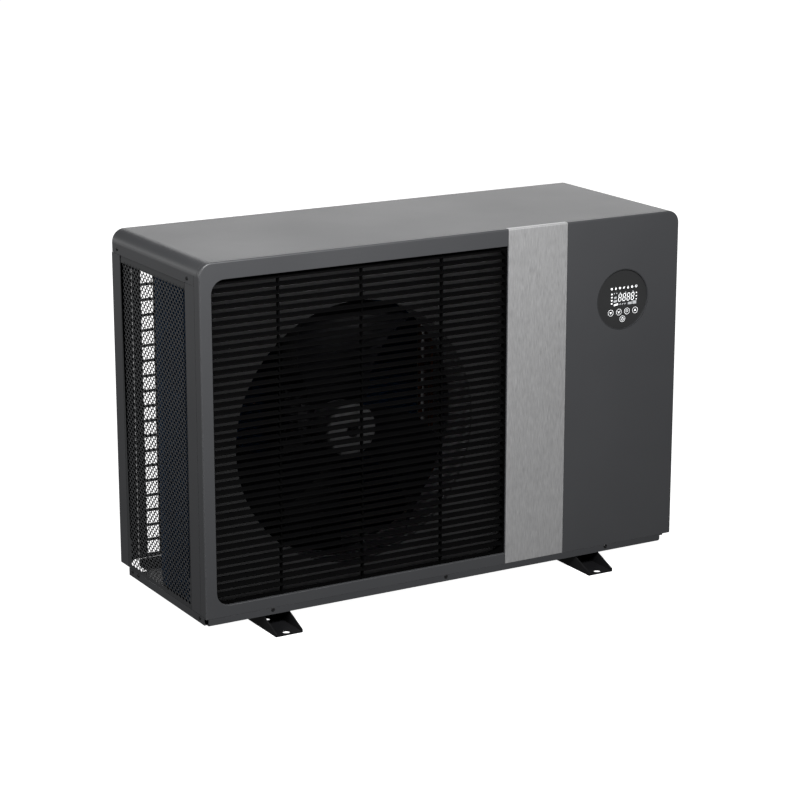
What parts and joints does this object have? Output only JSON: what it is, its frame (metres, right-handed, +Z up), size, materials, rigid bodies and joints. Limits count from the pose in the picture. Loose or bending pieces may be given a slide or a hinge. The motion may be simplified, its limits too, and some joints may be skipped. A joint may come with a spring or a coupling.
{
  "type": "pool heat pump",
  "caption": "Free-standing pool heat pump with a louvred side air outlet, a fan, an L-shaped coil, a round recessed display and two channel feet.",
  "frame": {"origin": "on the ground, under the middle of the whole footprint", "axes": "+X to the right seen from the front, along the longest side; +Y to the back; +Z up"},
  "size_m": [1.0476, 0.451, 0.675],
  "materials": {
    "casing_paint": "dark grey powder coat, fine texture, satin",
    "pan_paint": "dark grey powder coat, satin",
    "rail_paint": "black powder coat, satin",
    "brushed_strip": "brushed along its length, clear anodised",
    "black_screws": "black coated steel, satin",
    "zinc_steel": "zinc plated, dull",
    "galvanised_sheet": "galvanised, spangled",
    "grille_plastic": "black, fine texture",
    "shroud_paint": "dark primer over galvanised sheet",
    "fan_plastic": "dark grey glass filled plastic",
    "motor_paint": "dark grey enamel",
    "blue_fins": "blue hydrophilic coating",
    "copper": "drawn copper tube, slightly tarnished",
    "brass": "machined brass",
    "black_enamel": "black enamel, semi gloss",
    "mount_rubber": "moulded rubber, matte",
    "dark_plastic": "dark grey, fine texture",
    "grey_pvc": "grey PVC, dull",
    "black_plastic": "black, satin",
    "ivory_plastic": "off-white thermoset",
    "green_board": "green solder mask",
    "lens_plastic": "smoked, smooth",
    "key_plastic": "dark, smooth, printed ring"
  },
  "bodies": {
    "cabinet": {"base_pan": "pan_paint", "foot_rail_left": "rail_paint", "foot_rail_right": "rail_paint", "rail_bolts": "zinc_steel", "top_cover": "casing_paint", "front_frame": "casing_paint", "trim_strip": "brushed_strip", "service_panel": "casing_paint", "front_left_post": "casing_paint", "rear_left_post": "casing_paint", "left_mesh_panel": "casing_paint", "rear_guard": "casing_paint", "rear_service_panel": "casing_paint", "right_side_panel": "casing_paint", "partition_wall": "galvanised_sheet", "casing_screws": "black_screws", "fan_grille": "grille_plastic", "fan_shroud": "shroud_paint", "fan_motor": "motor_paint", "motor_bracket": "galvanised_sheet", "motor_bolts": "zinc_steel", "evaporator_fins": "blue_fins", "coil_end_plates": "galvanised_sheet", "hairpin_bends": "copper", "suction_header": "copper", "liquid_distributor": "copper", "compressor": "black_enamel", "compressor_mounts": "mount_rubber", "compressor_bolts": "zinc_steel", "terminal_cover": "black_plastic", "accumulator": "black_enamel", "suction_pipes": "copper", "four_way_valve": "brass", "reversing_coil": "black_plastic", "gas_pipes": "copper", "expansion_valve": "brass", "liquid_pipes": "copper", "heat_exchanger": "grey_pvc", "water_inlet": "grey_pvc", "water_outlet": "grey_pvc", "flow_switch": "black_plastic", "control_box": "galvanised_sheet", "control_board": "green_board", "terminal_block": "ivory_plastic", "wiring_cover": "dark_plastic", "cable_glands": "black_plastic", "display_bezel": "dark_plastic", "display_lens": "lens_plastic", "display_board": "green_board"},
    "fan": {"fan_impeller": "fan_plastic", "fan_hub_nut": "zinc_steel", "motor_shaft": "zinc_steel"},
    "key_down_body": {"key_down": "key_plastic"},
    "key_left_body": {"key_left": "key_plastic"},
    "key_right_body": {"key_right": "key_plastic"},
    "key_up_body": {"key_up": "key_plastic"},
    "key_power_body": {"key_power": "key_plastic"},
    "inlet_nut": {"inlet_union_nut": "black_plastic"},
    "outlet_nut": {"outlet_union_nut": "black_plastic"},
    "paddle": {"flow_paddle": "zinc_steel"}
  },
  "joints": [
    {"name": "fan_spin", "type": "hinge", "parent": "cabinet", "child": "fan", "pos_m": [-0.2012, -0.102, 0.3287], "axis": [0, 1, 0], "continuous": true},
    {"name": "key_down_press", "type": "slide", "parent": "cabinet", "child": "key_down_body", "axis": [0, 1, 0], "range_m": [0, 0.0008], "stiffness_N_per_m": 400},
    {"name": "key_left_press", "type": "slide", "parent": "cabinet", "child": "key_left_body", "axis": [0, 1, 0], "range_m": [0, 0.0008], "stiffness_N_per_m": 400},
    {"name": "key_right_press", "type": "slide", "parent": "cabinet", "child": "key_right_body", "axis": [0, 1, 0], "range_m": [0, 0.0008], "stiffness_N_per_m": 400},
    {"name": "key_up_press", "type": "slide", "parent": "cabinet", "child": "key_up_body", "axis": [0, 1, 0], "range_m": [0, 0.0008], "stiffness_N_per_m": 400},
    {"name": "key_power_press", "type": "slide", "parent": "cabinet", "child": "key_power_body", "axis": [0, 1, 0], "range_m": [0, 0.0008], "stiffness_N_per_m": 400},
    {"name": "inlet_nut_turn", "type": "hinge", "parent": "cabinet", "child": "inlet_nut", "pos_m": [0.5038, 0.063, 0.11], "axis": [1, 0, 0], "continuous": true},
    {"name": "outlet_nut_turn", "type": "hinge", "parent": "cabinet", "child": "outlet_nut", "pos_m": [0.5038, 0.063, 0.32], "axis": [1, 0, 0], "continuous": true},
    {"name": "paddle_swing", "type": "hinge", "parent": "cabinet", "child": "paddle", "pos_m": [0.4528, 0.063, 0.144], "axis": [0, 1, 0], "range_deg": [0, 25], "stiffness_Nm_per_rad": 0.02}
  ]
}
